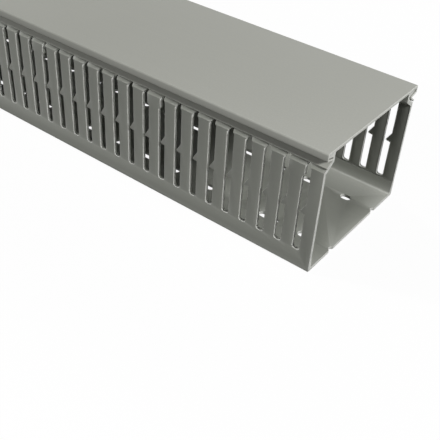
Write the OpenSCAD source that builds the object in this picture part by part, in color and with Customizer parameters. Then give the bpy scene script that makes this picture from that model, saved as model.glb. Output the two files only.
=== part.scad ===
// Slotted wire duct: an open-topped trunking whose two walls are rows of fingers, and the cover
// that snaps over the fingers' heads. Both are extruded to one section for their whole length.
// X runs along the duct, Y across it, and Z up from the underside of the base.

/* [Duct] */
// Length of the duct, and of its cover
duct_len = 1000; // [300:12.5:2000]
// Width over the two walls
duct_w = 100; // [80:5:200]
// Height from the underside of the base to the top of the cover
duct_h = 80; // [70:5:150]
// Thickness of the base
base_t = 2; // [1.2:0.1:4]
// Thickness of the walls
wall_t = 2; // [1.2:0.1:3]
// Radius of the outer edges under the base
base_edge_r = 1; // [0.3:0.1:1.5]
// Radius of the inner corners between base and walls
base_inner_r = 1.5; // [0.5:0.1:4]
// Thickness of the walls' feet, which thin to the walls' thickness by the score line
foot_t = 2.8; // [2:0.1:4]
// Distance from the slots' bottoms down to the line scored inside, where a finger snaps off
score_below = 0.5; // [0.3:0.1:2]
// Width of the scored line
score_w = 0.8; // [0.4:0.1:1.2]
// Depth of the scored line
score_d = 0.4; // [0.2:0.1:0.6]

/* [Fingers] */
// Distance from one slot to the next
slot_pitch = 12.5; // [10:0.5:25]
// Width of a slot
slot_w = 5; // [4:0.5:6]
// Height of the slots' bottoms above the underside of the base
slot_z = 12; // [6:0.5:20]
// Radius of the slots' bottom corners
slot_r = 1.6; // [0.5:0.1:2]
// Width of a finger left whole at the open end
end_finger_w = 7.5; // [4:0.5:20]
// Height at which a slot starts to narrow, measured down from the top of the cover
neck_drop = 13; // [11:0.1:15]
// Height over which a slot narrows
neck_taper = 1.8; // [1:0.1:4]
// Width of the narrow neck between two heads
neck_w = 2.2; // [1:0.1:3]
// Height of the underside of the barb that keeps wires in a slot
barb_z = 37.8; // [25:0.1:45]
// Height of the barb along the finger
barb_h = 6.5; // [4:0.1:10]
// Height of the middle of the barb's tip above its underside
barb_tip = 1; // [0.6:0.1:3]
// How far the barb reaches into the slot
barb_out = 3.1; // [1:0.1:3.4]
// Radius of the barb's tip
barb_r = 0.6; // [0.3:0.1:0.8]
// Every so many fingers, one has a wider head
wide_every = 8; // [2:1:20]
// Which finger, counted from the open end, is the first with a wider head
wide_first = 1; // [0:1:7]
// How far a wider head stands out on each side
wide_out = 1.2; // [0.4:0.1:1.2]
// Height at which a wider head starts, measured down from the top of the cover
wide_drop = 18; // [16:0.5:22]

/* [Finger heads] */
// Height at which the wall leans inward, measured down from the top of the cover
shoulder_drop = 12; // [11:0.1:14]
// Height over which the wall leans inward
shoulder_rise = 5; // [3:0.1:6]
// Thickness of the leaning shoulder
shoulder_t = 2.6; // [1.6:0.1:3]
// How far the neck's outer face stands in from the wall's
neck_in = 7; // [4:0.1:8]
// Height of the upright neck
neck_h = 1.7; // [1.2:0.1:2]
// How far the hook's underside climbs from the neck to its tip
hook_rise = 1.5; // [0.5:0.1:2]
// Height of the hook's upright tip
hook_tip_h = 0.8; // [0.4:0.1:1.2]

/* [Cover] */
// Thickness of the cover's plate
plate_t = 2; // [1.2:0.1:2.4]
// Thickness of the cover's side lips
lip_t = 1.4; // [0.8:0.1:2]
// Height of the lips' outer face
lip_h = 4.9; // [4:0.1:5.4]
// Width of the bevel on the lips' lower outer edge
lip_bevel = 0.5; // [0.2:0.1:0.8]
// Thickness of the flared toe that lies along the shoulder
toe_t = 1.2; // [0.6:0.1:1.6]
// How far the toe's lower edge stands in from the wall's outer face
toe_in = 1; // [0:0.1:2]
// Radius of the cover's upper edges
cover_edge_r = 1; // [0.3:0.1:1.3]
// Play between the cover and the heads that it clips over
cover_play = 0.3; // [0.15:0.05:0.5]
// How far the cover stands past the duct at the open end
cover_out = 0.8; // [0:0.1:5]

/* [Base holes] */
// Distance between one hole and the next along the duct
hole_pitch = 25; // [20:1:50]
// Distance between the two rows of holes
hole_rows = 50; // [20:5:60]
// Width of every hole
hole_w = 5; // [3:0.5:8]
// Length of the long holes
long_hole = 14; // [8:0.5:18]
// Length of the short holes that lie between them
short_hole = 7; // [5.5:0.5:8]
// How far the centre of the hole that the open end cuts lies past that end
hole_past = 5.5; // [0:0.5:20]
// Least material left between a hole and the closed end of the row
hole_margin = 3; // [2:0.5:20]

/* [Hidden] */
pvc = [0.56, 0.57, 0.55];
pvc_cover = [0.62, 0.63, 0.60];
over = 1;                                    // how far a cut runs past the face that it opens
arc_n = 4;                                   // straight stretches in a quarter-round edge
corner_n = 3;                                // and in the smaller rounds of the slots

// Both pieces have the same length, and the cover's overhang is shared about the middle
duct_x = -cover_out / 2;
cover_x = cover_out / 2;
open_end = duct_x + duct_len / 2;
far_end = duct_x - duct_len / 2;

// Heights on the finger heads, and how far in from the wall's outer face
shoulder_z = duct_h - shoulder_drop;
neck_z = shoulder_z + shoulder_rise;
head_z = duct_h - plate_t - cover_play;
hook_in = lip_t + cover_play;
hook_z = neck_z + neck_h + hook_rise;
shoulder_k = shoulder_rise / neck_in;        // climb of the shoulder for each mm inward
shoulder_run = sqrt(1 + pow(shoulder_k, 2)); // length along the shoulder for each mm inward
hook_k = hook_rise / (neck_in - hook_in);
hook_run = sqrt(1 + pow(hook_k, 2));

// The slots start one finger in from the open end and leave at least a finger at the far end
slot_x0 = open_end - end_finger_w - slot_w / 2;
slot_n = floor((slot_x0 - far_end - end_finger_w - slot_w / 2) / slot_pitch) + 1;
barb_top = barb_z + barb_h;
cut_top = duct_h + over;

// Points along an arc about c, from angle a0 to a1
function arc(c, r, a0, a1, n = arc_n) =
    [for (i = [0:n]) c + r * [cos(a0 + (a1 - a0) * i / n), sin(a0 + (a1 - a0) * i / n)]];
function reversed(p) = [for (i = [len(p) - 1:-1:0]) p[i]];
// A closed section from its half on the -Y side, whose points run from the middle outward and back
function both_sides(half) = concat(half, reversed([for (p = half) [-p[0], p[1]]]));
// The same points in from the wall's outer face, as places across the duct
function from_wall(p) = [for (q = p) [q[0] - duct_w / 2, q[1]]];
// Direction from point c to point p, and the angle by which a tangent turns off that line
function bearing(c, p) = atan2(p[1] - c[1], p[0] - c[0]);
function tangent(c, p, r) = acos(r / norm(p - c));

// Height of the shoulder's inner face at a distance in from the wall's outer face
function shoulder_inside(y) = shoulder_z + y * shoulder_k - shoulder_t * shoulder_run;

score_top = slot_z - score_below;

// One wall's section: out along the underside, up the outer face, over the head, down inside past
// the scored line, and out over the thicker foot to the base
function wall_section() = concat(
    arc([base_edge_r, base_edge_r], base_edge_r, 270, 180),
    [[0, shoulder_z],
     [neck_in, neck_z],
     [neck_in, neck_z + neck_h],
     [hook_in, hook_z],
     [hook_in, hook_z + hook_tip_h],
     [hook_in + (head_z - hook_z - hook_tip_h), head_z],
     [neck_in + wall_t, head_z],
     [neck_in + wall_t, shoulder_inside(neck_in + wall_t)],
     [wall_t, shoulder_inside(wall_t)],
     [wall_t, score_top],
     [wall_t - score_d, score_top - score_w / 2],
     [wall_t, score_top - score_w]],
    arc([foot_t + base_inner_r, base_t + base_inner_r], base_inner_r, 180, 270));

// One side of the cover: over the top edge, down the lip, in to the catch under the hook, out
// along the shoulder to the toe, then back inside round the hook to the underside of the plate
lip_z = duct_h - lip_h;
catch_in = neck_in - cover_play;
catch_top = neck_z + neck_h - cover_play * (hook_run - hook_k);
catch_foot = neck_z + cover_play * (shoulder_run - shoulder_k);
toe_gap = cover_play * shoulder_run;         // upright distance from the shoulder to the toe
toe_up = toe_gap + toe_t * shoulder_run;
toe_z = shoulder_z + toe_in * shoulder_k + toe_up;
toe_dx = toe_t * shoulder_k / shoulder_run;
groove_in = (lip_z - toe_z + toe_in * shoulder_k + lip_bevel * hook_k) / (shoulder_k + hook_k);
groove_z = toe_z + (groove_in - toe_in) * shoulder_k;
function cover_section() = concat(
    arc([cover_edge_r, duct_h - cover_edge_r], cover_edge_r, 90, 180),
    [[0, lip_z + lip_bevel],
     [lip_bevel, lip_z],
     [groove_in, groove_z],
     [toe_in, toe_z],
     [toe_in + toe_dx, toe_z - toe_t / shoulder_run],
     [catch_in, catch_foot],
     [catch_in, catch_top],
     [lip_t, hook_z - cover_play * hook_run + cover_play * hook_k],
     [lip_t, duct_h - plate_t]]);

// One slot seen from the side, centred on x = 0, with the open end to the right. The barb stands
// on its right-hand side, and wide_l and wide_r tell which of the two heads beside it is wide.
function slot_side(wide) = wide
    ? [[slot_w / 2, duct_h - wide_drop - wide_out],
       [slot_w / 2 - wide_out, duct_h - wide_drop],
       [slot_w / 2 - wide_out, duct_h - neck_drop],
       [neck_w / 2, duct_h - neck_drop + neck_taper],
       [neck_w / 2, cut_top]]
    : [[slot_w / 2, duct_h - neck_drop],
       [neck_w / 2, duct_h - neck_drop + neck_taper],
       [neck_w / 2, cut_top]];
barb_c = [slot_w / 2 - barb_out + barb_r, barb_z + barb_tip];
barb_foot = [slot_w / 2, barb_z];
barb_head = [slot_w / 2, barb_top];
barb_a0 = bearing(barb_c, barb_foot) - tangent(barb_c, barb_foot, barb_r);
barb_a1 = bearing(barb_c, barb_head) + tangent(barb_c, barb_head, barb_r) - 360;
slot_c = [slot_w / 2 - slot_r, slot_z + slot_r];
slot_foot = arc(slot_c, slot_r, 270, 360, corner_n);
function slot_outline(wide_l, wide_r) = concat(
    reversed(concat(
        slot_foot,
        [barb_foot],
        arc(barb_c, barb_r, barb_a0, barb_a1, corner_n),
        [barb_head],
        slot_side(wide_r))),
    [for (p = concat(slot_foot, slot_side(wide_l))) [-p[0], p[1]]]);

// Finger i counts from the open end, and slot i lies between fingers i and i + 1
function is_wide(i) = (i - wide_first) % wide_every == 0;

// A section drawn as Y and Z, extruded along the duct about x
module along_x(x, section) {
    translate([x, 0, 0])
        rotate([90, 0, 90])
            linear_extrude(height = duct_len, center = true)
                polygon(section);
}

// The slots of both walls as one comb whose teeth hang from a strip above the heads
module slots() {
    teeth = [for (i = [0:slot_n - 1], p = slot_outline(is_wide(i + 1), is_wide(i)))
        [slot_x0 - i * slot_pitch + p[0], p[1]]];
    last = len(teeth) - 1;
    rotate([90, 0, 0])
        linear_extrude(height = duct_w + 2 * over, center = true)
            polygon(concat([[teeth[0][0], cut_top + over]], teeth, [[teeth[last][0], cut_top + over]]));
}

// A round-ended hole through the base, its length along X
module base_hole(length) {
    translate([0, 0, -over])
        linear_extrude(height = base_t + 2 * over) {
            square([length - hole_w, hole_w], center = true);
            for (s = [-1, 1])
                translate([s * (length - hole_w) / 2, 0])
                    circle(d = hole_w, $fn = 32);
        }
}

// Two rows of base holes, long and short in turn; the first is the one that the open end cuts
hole_x0 = open_end + hole_past;
hole_n = floor((hole_x0 - far_end - hole_margin - long_hole / 2) / hole_pitch);
module base_holes() {
    for (i = [0:hole_n], row = [-1, 1])
        translate([hole_x0 - i * hole_pitch, row * hole_rows / 2, 0])
            base_hole(i % 2 == 0 ? long_hole : short_hole);
}

module duct() {
    color(pvc)
        difference() {
            along_x(duct_x, both_sides(from_wall(wall_section())));
            slots();
            base_holes();
        }
}

module cover() {
    color(pvc_cover)
        along_x(cover_x, both_sides(from_wall(cover_section())));
}

duct();
cover();
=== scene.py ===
# %% [markdown]
# # Slotted wire duct, dressed
# The duct and its cover come as two finished solids, in metres and in their true places. This
# lesson gives them the look of extruded rigid PVC: softened edges, the faint lines that the
# extrusion die leaves along them, paler plastic wherever a punch or a saw went through (partly
# crazed plastic, partly a painted highlight), and the raised burrs that the punch pushes up inside.

# %% Load the frame
import math

import bmesh
import bpy
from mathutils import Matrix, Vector


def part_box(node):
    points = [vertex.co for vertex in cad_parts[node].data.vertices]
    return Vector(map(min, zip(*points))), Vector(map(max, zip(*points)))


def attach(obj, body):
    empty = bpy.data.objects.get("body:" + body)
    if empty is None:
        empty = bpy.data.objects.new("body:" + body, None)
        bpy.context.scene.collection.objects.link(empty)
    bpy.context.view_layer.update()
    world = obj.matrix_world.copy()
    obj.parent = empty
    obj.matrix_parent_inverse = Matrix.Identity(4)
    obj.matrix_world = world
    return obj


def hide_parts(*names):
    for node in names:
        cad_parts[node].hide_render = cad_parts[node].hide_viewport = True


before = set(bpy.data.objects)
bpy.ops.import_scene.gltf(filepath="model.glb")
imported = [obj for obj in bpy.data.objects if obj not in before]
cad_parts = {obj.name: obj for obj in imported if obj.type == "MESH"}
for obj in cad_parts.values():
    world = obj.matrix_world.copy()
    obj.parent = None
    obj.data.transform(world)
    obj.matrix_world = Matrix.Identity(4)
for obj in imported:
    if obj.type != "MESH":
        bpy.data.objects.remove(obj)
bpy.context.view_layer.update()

print("nodes:", sorted(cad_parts))

# %% [markdown]
# ## Sizes
# Lengths are easier to think about in millimetres, while Blender works in metres, so MM turns
# one into the other. The few sizes that the finish depends on are read off the solids' boxes
# or named here once.

# %% Named sizes
MM = 0.001
duct_low, duct_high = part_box("duct")
cover_low, cover_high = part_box("cover")
OPEN_END = duct_high.x
WALL = 2.0 * MM                # thickness of the walls and of the base
SLOT_FLOOR = 12.0 * MM         # height of the slots' bottoms
SHOULDER = 68.0 * MM           # height at which the walls lean inward
print("duct", [round(v / MM, 1) for v in duct_high - duct_low], "mm")
print("cover", [round(v / MM, 1) for v in cover_high - cover_low], "mm")

# %% [markdown]
# ## Softened edges
# The solids' edges are mathematically sharp, which no plastic edge is: a saw or a punch leaves a
# corner of a few tenths of a millimetre that catches a thin line of light. A Bevel modifier
# rounds every edge sharper than an angle. It needs clean faces, so this works on a copy: the
# loose triangles are joined and flat areas become single faces first. The copy then stands for
# the solid, which stays hidden for collision.


# %% Copy a solid and round its edges
def softened(node, name, radius):
    """A copy of a CAD node with its edges rounded, riding on the node's body in its place."""
    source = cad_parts[node]
    shape = bmesh.new()
    shape.from_mesh(source.data)
    bmesh.ops.remove_doubles(shape, verts=shape.verts, dist=0.002 * MM)
    bmesh.ops.dissolve_limit(
        shape, angle_limit=math.radians(0.5), verts=shape.verts, edges=shape.edges
    )
    mesh = bpy.data.meshes.new(name)
    shape.to_mesh(mesh)
    shape.free()
    piece = bpy.data.objects.new(name, mesh)
    bpy.context.collection.objects.link(piece)
    bevel = piece.modifiers.new("rounded edges", "BEVEL")
    bevel.width = radius
    bevel.segments = 2
    bevel.limit_method = "ANGLE"
    bevel.angle_limit = math.radians(30)
    bevel.harden_normals = True
    for face in mesh.polygons:
        face.use_smooth = True
    seen = piece.evaluated_get(bpy.context.evaluated_depsgraph_get())
    rounded = bpy.data.meshes.new_from_object(seen)
    piece.modifiers.clear()
    piece.data = rounded
    # Rounding may push a corner out by a hair, and the finished piece keeps the solid's size
    low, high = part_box(node)
    for vertex in rounded.vertices:
        for axis in range(3):
            vertex.co[axis] = min(max(vertex.co[axis], low[axis]), high[axis])
    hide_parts(node)
    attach(piece, node)
    rounded.calc_loop_triangles()
    print(name, "has", len(mesh.polygons), "faces before rounding and",
          len(rounded.loop_triangles), "triangles after")
    return piece, mesh


duct, duct_sharp = softened("duct", "duct_shell", 0.2 * MM)
cover, cover_sharp = softened("cover", "cover_shell", 0.25 * MM)

# %% [markdown]
# ## One way to add a node
# Materials and Geometry Nodes are both trees of nodes. One small function adds any kind of node
# with its settings and links, so that each tree below reads as a list of what it does. A link is
# given as the socket that it comes from, and anything else is a plain value.


# %% Helpers for node trees
def add(tree, kind, settings=None, **inputs):
    """Adds a node; inputs are sockets to link or values to set, named in_N or by their name."""
    node = tree.nodes.new(kind)
    for key, value in (settings or {}).items():
        setattr(node, key, value)
    for key, value in inputs.items():
        socket = node.inputs[int(key[3:])] if key.startswith("in_") else node.inputs[key.replace("_", " ")]
        if isinstance(value, bpy.types.NodeSocket):
            tree.links.new(value, socket)
        else:
            socket.default_value = value
    return node


def linear(hex_colour):
    """An sRGB colour such as '#A0A199' as the linear RGBA that shaders work in."""
    parts = [int(hex_colour[i:i + 2], 16) / 255 for i in (1, 3, 5)]
    return tuple(c / 12.92 if c <= 0.04045 else ((c + 0.055) / 1.055) ** 2.4 for c in parts) + (1.0,)


print("mid grey #808080 is", round(linear("#808080")[0], 3), "in linear light")

# %% [markdown]
# ## Extruded rigid PVC
# Both pieces are unplasticised PVC, pushed hot through a steel die. It has a satin skin with
# faint lines along its length, where the die was not perfectly smooth, and a very slight change
# of shade from one strip to the next. The shader is a plain dielectric with PVC's IOR of 1.53.
# Wherever the plastic was sheared or sawn it is painted paler: partly because a cut face is full of
# tiny crazes that scatter light, and partly as a painted highlight for the light that the slots' edges
# and floors catch. Those faces are easy to tell: everything extruded has a normal with no X in it,
# so any face whose normal leans along X was cut.


# %% The PVC material
def extruded_pvc(name, skin, skin_dark, pale_cut_and_highlight, floor_cut_and_highlight):
    """Satin PVC: two close shades of skin along the extrusion, and a paler colour on cuts, partly crazed plastic
    and partly a painted highlight.
    """
    material = bpy.data.materials.new(name)
    material.use_nodes = True
    tree = material.node_tree
    tree.nodes.clear()
    place = add(tree, "ShaderNodeTexCoord")
    # Die lines really stand about 0.3 mm apart; 1.6 mm is the finest that shows from here
    streaks = add(tree, "ShaderNodeMapping", Vector=place.outputs["Object"], Scale=(4, 600, 600))
    die_lines = add(tree, "ShaderNodeTexNoise", in_0=streaks.outputs[0], Scale=1.0, Detail=3.0)
    # Slow drift of shade over about 80 mm, as the melt and the cooling vary
    drift = add(tree, "ShaderNodeTexNoise", in_0=place.outputs["Object"], Scale=12.0, Detail=2.0)
    shade = add(tree, "ShaderNodeMath", {"operation": "MULTIPLY_ADD"},
                in_0=die_lines.outputs[0], in_1=0.5, in_2=0.0)
    mixed = add(tree, "ShaderNodeMath", {"operation": "MULTIPLY_ADD"},
                in_0=drift.outputs[0], in_1=0.5, in_2=shade.outputs[0])
    skin_mix = add(tree, "ShaderNodeMix", {"data_type": "RGBA"},
                   in_0=mixed.outputs[0], in_6=linear(skin_dark), in_7=linear(skin))
    # A cut face's normal leans along X; the pale colour put there is partly crazed plastic and partly a painted
    # highlight
    facing = add(tree, "ShaderNodeSeparateXYZ", Vector=place.outputs["Normal"])
    lean = add(tree, "ShaderNodeMath", {"operation": "ABSOLUTE"}, in_0=facing.outputs[0])
    cut_and_highlight_mask = add(tree, "ShaderNodeMapRange", in_0=lean.outputs[0], in_1=0.1, in_2=0.6)
    mask = cut_and_highlight_mask.outputs[0]
    if floor_cut_and_highlight:
        # The flat bottom of each slot was cut too, but faces straight up; its pale colour is partly crazing and
        # partly a painted highlight
        height = add(tree, "ShaderNodeSeparateXYZ", Vector=place.outputs["Object"])
        level = add(tree, "ShaderNodeMath", {"operation": "COMPARE"},
                    in_0=height.outputs[2], in_1=SLOT_FLOOR, in_2=0.25 * MM)
        up = add(tree, "ShaderNodeMath", {"operation": "GREATER_THAN"},
                 in_0=facing.outputs[2], in_1=0.5)
        bottom = add(tree, "ShaderNodeMath", {"operation": "MULTIPLY"},
                     in_0=level.outputs[0], in_1=up.outputs[0])
        either = add(tree, "ShaderNodeMath", {"operation": "MAXIMUM"}, in_0=mask, in_1=bottom.outputs[0])
        mask = either.outputs[0]
    # Crazed plastic is blotchy at about 1 mm
    blotch = add(tree, "ShaderNodeTexNoise", in_0=place.outputs["Object"], Scale=900.0, Detail=2.0)
    patchy = add(tree, "ShaderNodeMapRange", in_0=blotch.outputs[0], in_1=0.3, in_2=0.7, in_3=0.75, in_4=1.0)
    amount = add(tree, "ShaderNodeMath", {"operation": "MULTIPLY"}, in_0=mask, in_1=patchy.outputs[0])
    # Mixes in the pale cut colour: crazed plastic, and also a painted highlight on cut faces and slot floors
    colour = add(tree, "ShaderNodeMix", {"data_type": "RGBA"},
                 in_0=amount.outputs[0], in_6=skin_mix.outputs[2], in_7=linear(pale_cut_and_highlight))
    roughness = add(tree, "ShaderNodeMapRange", in_0=amount.outputs[0], in_3=0.42, in_4=0.75)
    grain = add(tree, "ShaderNodeBump", Strength=0.08, Distance=0.1 * MM, Height=die_lines.outputs[0])
    skin_shader = add(tree, "ShaderNodeBsdfPrincipled", Base_Color=colour.outputs[2],
                      Roughness=roughness.outputs[0], Normal=grain.outputs[0], IOR=1.53,
                      Specular_IOR_Level=0.25)
    add(tree, "ShaderNodeOutputMaterial", Surface=skin_shader.outputs[0])
    print(name, "has", len(tree.nodes), "nodes")
    return material


# The third colour is the pale cut colour: partly crazed plastic, partly a painted highlight on cut faces
duct_pvc = extruded_pvc("extruded_pvc_duct", "#9B9D95", "#90928A", "#E2E3DE", True)
cover_pvc = extruded_pvc("extruded_pvc_cover", "#A2A39B", "#9A9B93", "#D8D9D3", False)
duct.data.materials.clear()
duct.data.materials.append(duct_pvc)
cover.data.materials.clear()
cover.data.materials.append(cover_pvc)

# %% [markdown]
# ## Punch burrs
# A punch goes in from outside, so it drags a little plastic out on the far side: every slot has
# a fine raised rim on the inside of the wall. There are more than a hundred and fifty slots, so
# Geometry Nodes find the rims instead of anyone drawing them. The tree keeps the edges that lie
# on the walls' inner faces and turn sharply, makes curves of them, and sweeps a thin round bead
# along each curve.


# %% Burrs by Geometry Nodes
def burr_tree():
    tree = bpy.data.node_groups.new("punch burrs", "GeometryNodeTree")
    face = tree.interface
    face.new_socket("Geometry", in_out="INPUT", socket_type="NodeSocketGeometry")
    for name in ("Face distance", "Lowest", "Highest", "Bead radius"):
        face.new_socket(name, in_out="INPUT", socket_type="NodeSocketFloat")
    face.new_socket("Material", in_out="INPUT", socket_type="NodeSocketMaterial")
    face.new_socket("Geometry", in_out="OUTPUT", socket_type="NodeSocketGeometry")
    given = add(tree, "NodeGroupInput").outputs
    where = add(tree, "GeometryNodeInputPosition")
    split = add(tree, "ShaderNodeSeparateXYZ", Vector=where.outputs[0])
    across = add(tree, "ShaderNodeMath", {"operation": "ABSOLUTE"}, in_0=split.outputs[1])
    on_face = add(tree, "FunctionNodeCompare", {"operation": "EQUAL"},
                  in_0=across.outputs[0], in_1=given["Face distance"], Epsilon=0.01 * MM)
    above = add(tree, "FunctionNodeCompare", {"operation": "GREATER_THAN"},
                in_0=split.outputs[2], in_1=given["Lowest"])
    below = add(tree, "FunctionNodeCompare", {"operation": "LESS_THAN"},
                in_0=split.outputs[2], in_1=given["Highest"])
    both = add(tree, "FunctionNodeBooleanMath", {"operation": "AND"},
               in_0=above.outputs[0], in_1=below.outputs[0])
    on_wall = add(tree, "FunctionNodeBooleanMath", {"operation": "AND"},
                  in_0=on_face.outputs[0], in_1=both.outputs[0])
    angle = add(tree, "GeometryNodeInputMeshEdgeAngle")
    sharp = add(tree, "FunctionNodeCompare", {"operation": "GREATER_THAN"},
                in_0=angle.outputs[0], in_1=math.radians(60))
    # Both ends of an edge have to lie on the wall, so the corner test runs on points
    on_edge = add(tree, "GeometryNodeFieldOnDomain", {"domain": "EDGE", "data_type": "BOOLEAN"},
                  Value=on_wall.outputs[0])
    chosen = add(tree, "FunctionNodeBooleanMath", {"operation": "AND"},
                 in_0=on_edge.outputs[0], in_1=sharp.outputs[0])
    rims = add(tree, "GeometryNodeMeshToCurve", Mesh=given["Geometry"], Selection=chosen.outputs[0])
    profile = add(tree, "GeometryNodeCurvePrimitiveCircle", Resolution=5, Radius=given["Bead radius"])
    beads = add(tree, "GeometryNodeCurveToMesh", Curve=rims.outputs[0], Profile_Curve=profile.outputs[0],
                Fill_Caps=True)
    real = add(tree, "GeometryNodeRealizeInstances", Geometry=beads.outputs[0])
    dressed = add(tree, "GeometryNodeSetMaterial", Geometry=real.outputs[0], Material=given["Material"])
    add(tree, "NodeGroupOutput", in_0=dressed.outputs[0])
    return tree


def set_input(modifier, name, value):
    """Sets a Geometry Nodes input by its socket's identifier."""
    for item in modifier.node_group.interface.items_tree:
        if item.name == name and getattr(item, "in_out", "") == "INPUT":
            modifier[item.identifier] = value


burrs = bpy.data.objects.new("burr_maker", duct_sharp)
bpy.context.collection.objects.link(burrs)
rims = burrs.modifiers.new("burrs", "NODES")
rims.node_group = burr_tree()
set_input(rims, "Face distance", duct_high.y - WALL)
set_input(rims, "Lowest", SLOT_FLOOR - 0.2 * MM)
set_input(rims, "Highest", SHOULDER - 1.0 * MM)
set_input(rims, "Bead radius", 0.15 * MM)
set_input(rims, "Material", duct_pvc)
evaluated = burrs.evaluated_get(bpy.context.evaluated_depsgraph_get())
rim_mesh = bpy.data.meshes.new_from_object(evaluated)
bpy.data.objects.remove(burrs)
punch_burrs = bpy.data.objects.new("punch_burrs", rim_mesh)
bpy.context.collection.objects.link(punch_burrs)
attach(punch_burrs, "duct")
print("punch burrs:", len(rim_mesh.polygons), "faces")

# %% [markdown]
# ## Floor and light
# The duct stands on a plain white floor. The floor shows white to the camera and in reflections,
# but bounces little light back up, so that walls keep the softer tone that a face at right
# angles to the sky has.


# %% Floor and world
def seen_directly(tree):
    """1 for rays from the camera, a reflection or glass, 0 for light bounced about."""
    path = add(tree, "ShaderNodeLightPath")
    glossy = add(tree, "ShaderNodeMath", {"operation": "MAXIMUM"},
                 in_0=path.outputs["Is Camera Ray"], in_1=path.outputs["Is Glossy Ray"])
    return add(tree, "ShaderNodeMath", {"operation": "MAXIMUM"},
               in_0=glossy.outputs[0], in_1=path.outputs["Is Transmission Ray"]).outputs[0]


def white_floor():
    material = bpy.data.materials.new("matt_white_floor")
    material.use_nodes = True
    tree = material.node_tree
    tree.nodes.clear()
    dull = add(tree, "ShaderNodeBsdfDiffuse", Color=linear("#282828"))
    lit = add(tree, "ShaderNodeBsdfDiffuse", Color=linear("#FFFFFF"))
    glow = add(tree, "ShaderNodeEmission", Color=linear("#FFFFFF"), Strength=1.0)
    pale = add(tree, "ShaderNodeMixShader", Fac=0.94, in_1=lit.outputs[0], in_2=glow.outputs[0])
    chosen = add(tree, "ShaderNodeMixShader", Fac=seen_directly(tree), in_1=dull.outputs[0], in_2=pale.outputs[0])
    add(tree, "ShaderNodeOutputMaterial", Surface=chosen.outputs[0])
    return material


def plain_world(strength):
    world = bpy.data.worlds.new("studio")
    bpy.context.scene.world = world
    world.use_nodes = True
    tree = world.node_tree
    tree.nodes.clear()
    sky = add(tree, "ShaderNodeBackground", Color=linear("#FFFFFF"), Strength=strength)
    white = add(tree, "ShaderNodeBackground", Color=linear("#FFFFFF"), Strength=1.0)
    chosen = add(tree, "ShaderNodeMixShader", Fac=seen_directly(tree), in_1=sky.outputs[0], in_2=white.outputs[0])
    add(tree, "ShaderNodeOutputWorld", Surface=chosen.outputs[0])


floor_mesh = bpy.data.meshes.new("floor")
reach = 12.0
floor_mesh.from_pydata(
    [(-reach, -reach, 0), (reach, -reach, 0), (reach, reach, 0), (-reach, reach, 0)], [], [(0, 1, 2, 3)]
)
floor_mesh.materials.append(white_floor())
floor = bpy.data.objects.new("floor", floor_mesh)
floor.location.z = -0.2 * MM
bpy.context.collection.objects.link(floor)
plain_world(0.05)


# %% Lamps
def soft_lamp(name, place, target, size, watts):
    """A square studio lamp with a soft edge, aimed at a point."""
    lamp = bpy.data.lights.new(name, "AREA")
    lamp.size = size
    lamp.energy = watts
    holder = bpy.data.objects.new(name, lamp)
    holder.location = place
    holder.rotation_euler = (Vector(place) - Vector(target)).to_track_quat("Z", "Y").to_euler()
    bpy.context.collection.objects.link(holder)
    return holder


soft_lamp("key", (2.1, -0.26, 1.3), (0.45, 0, 0.04), 0.35, 33)
soft_lamp("overhead", (0.65, 0, 1.6), (0.5, 0, 0), 0.25, 4)
soft_lamp("near_side", (-3.8, -1.75, 1.1), (0, 0, 0.04), 0.6, 170)
soft_lamp("far_side", (-3.8, 1.75, 1.1), (0, 0, 0.04), 0.6, 125)

# %% [markdown]
# ## Camera
# The camera looks down the duct from beyond its open end and a little to one side, so that the
# near wall, the cover and the end can all be seen.

# %% Camera
camera = bpy.data.cameras.new("camera")
camera.lens = 61.73
camera.clip_start = 0.01
eye = bpy.data.objects.new("camera", camera)
eye.location = (OPEN_END + 142.7 * MM, duct_low.y - 288.6 * MM, 285.0 * MM)
eye.rotation_euler = [math.radians(a) for a in (51.57, -3.15, 37.97)]
bpy.context.collection.objects.link(eye)
bpy.context.scene.camera = eye
bpy.context.scene.view_settings.view_transform = "Standard"
